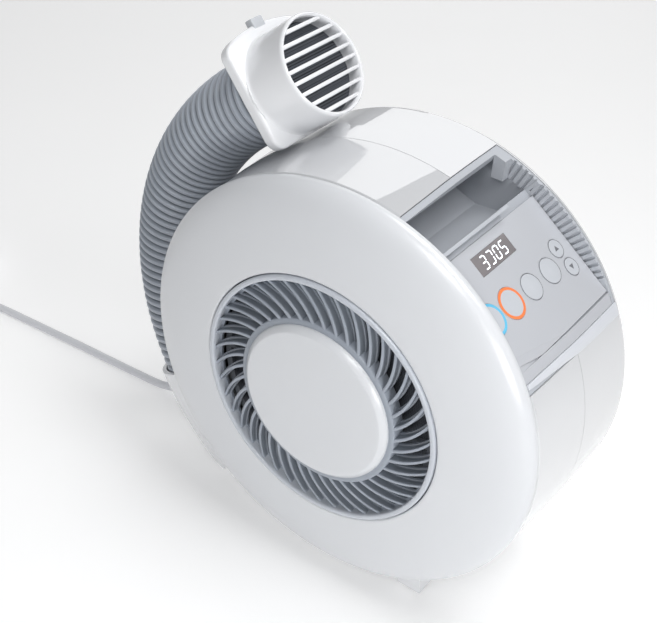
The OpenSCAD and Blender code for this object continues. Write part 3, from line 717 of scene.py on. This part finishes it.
def digit_mesh(lit, y_mid):
    """Hexagonal bars of one seven-segment digit; u along the panel's depth, v up the panel."""
    verts, faces = [], []
    k = DIGIT_BAR / 2
    for bar in lit:
        cu, cv, upright = BARS[bar]
        cu, cv = cu * DIGIT_W / 2, cv * DIGIT_H / 2
        half = (DIGIT_H / 2 if upright else DIGIT_W) / 2 - 0.28
        pts = [(-half, 0), (-half + k, k), (half - k, k), (half, 0), (half - k, -k),
               (-half + k, -k)]
        if upright:
            pts = [(-v, u) for u, v in pts]
        base = len(verts)
        for lift in (0.005, 0.06):
            for u, v in pts:
                up = cv + v
                verts.append(P(DIGIT_MID - up, y_mid + cu + u + DIGIT_SLANT * up, lift))
        faces += [tuple(range(base, base + 6)), tuple(range(base + 6, base + 12))]
        faces += ring_faces(2, 6, False, True, base)
    return verts, faces


digits = make("display_digits_lit",
              *merge_parts([digit_mesh(lit, WINDOW[2] + DIGIT_FIRST + DIGIT_STEP * k)
                            for k, lit in enumerate(LIT)]),
              M["digit_white"], "housing", "digit_white", smooth=False)
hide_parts("display_digits")

# ------------------------------------------------------------------ recess lip
# depth, degrees round the drum of the lip's lower edge
LIP_LINE = [(-0.5, 27.6), (8, 27.3), (22, 26.9), (45, 26.2), (61, 25.75), (86, 25.55),
            (107.4, 25.4)]
LIP_TOP, LIP_FROM, LIP_TO, LIP_THICK = 28.75, 1.8, 107.4, 1.6
LIP_ROWS, LIP_ARC = 24, 8


def lip_low(y):
    for (y0, a0), (y1, a1) in zip(LIP_LINE, LIP_LINE[1:]):
        if y <= y1:
            return a0 + (a1 - a0) * (y - y0) / (y1 - y0)
    return LIP_LINE[-1][1]


def rim_radius(y):
    """Outside of the shells: a slight cone in front of the parting line, then level."""
    step = 0.5
    cone = (RIM_R - step - FRONT_R) * min(1.0, y / PART_LINE)
    return FRONT_R + cone + step * min(1.0, max(0.0, (y - PART_LINE) / 20))


def lip_mesh():
    verts = []
    for row in range(LIP_ROWS + 1):
        y = LIP_FROM + (LIP_TO - LIP_FROM) * row / LIP_ROWS
        low, rim = lip_low(y), rim_radius(y)
        ring = []
        for k in range(LIP_ARC + 1):
            lift = 0.25 * min(1.0, 3.0 * math.sin(math.pi * k / LIP_ARC) + 0.1)
            ring.append((rim + lift, low + (LIP_TOP - low) * k / LIP_ARC))
        ring += [(rim - LIP_THICK, LIP_TOP), (rim - LIP_THICK, low)]
        for r, degrees in ring:
            a = math.radians(degrees)
            verts.append(W(r * math.cos(a), y, r * math.sin(a)))
    n = LIP_ARC + 3
    ends = [tuple(range(n)), tuple(range(LIP_ROWS * n, LIP_ROWS * n + n))]
    return verts, ring_faces(LIP_ROWS + 1, n, False) + ends


make("recess_lip_moulded", *lip_mesh(), M["lip_grey"], "housing", "recess_grey", sharp=40)

# ------------------------------------------------------------------ stage and light
FLOOR_HALF = 6.0
corners = [(-1, -1), (1, -1), (1, 1), (-1, 1)]
me = bpy.data.meshes.new("floor")
me.from_pydata([(FLOOR_HALF * x, FLOOR_HALF * y, 0) for x, y in corners], [], [(0, 1, 2, 3)])
floor = bpy.data.objects.new("floor", me)
scene.collection.objects.link(floor)
me.materials.append(plastic("floor_pale", (0.9, 0.9, 0.9), rough=0.8, vary=0.003,
                            grain_bump=0.0, spec=0.1, emit=0.2))


def area(name, loc, target, size, power, size_y=None):
    """A soft rectangular light at loc that faces target."""
    d = bpy.data.lights.new(name, "AREA")
    d.shape = "RECTANGLE"
    d.size = size
    d.size_y = size_y or size
    d.energy = power
    o = bpy.data.objects.new(name, d)
    scene.collection.objects.link(o)
    o.location = loc
    o.rotation_mode = "QUATERNION"
    o.rotation_quaternion = (Vector(target) - Vector(loc)).to_track_quat("-Z", "Y")


area("key_light", (0.72, -1.62, 1.78), (0, 0, 0.15), 0.7, 13.5)
area("near_right", (0.60, -0.50, 0.30), (0.03, -0.05, 0.2), 0.25, 1.6)
area("recess_soft", (0.44, -0.12, 0.78), (0.08, 0.0, 0.28), 0.2, 1.3)
area("top_soft", (0.30, 0.15, 1.6), (0.05, 0, 0.15), 0.7, 9)
area("back_card", (-0.75, 1.55, 1.15), (0, 0, 0.2), 2.6, 12, size_y=1.3)
world = bpy.data.worlds.new("studio")
scene.world = world
world.use_nodes = True
background = world.node_tree.nodes["Background"]
background.inputs["Color"].default_value = (0.97, 0.98, 1, 1)
background.inputs["Strength"].default_value = 0.2
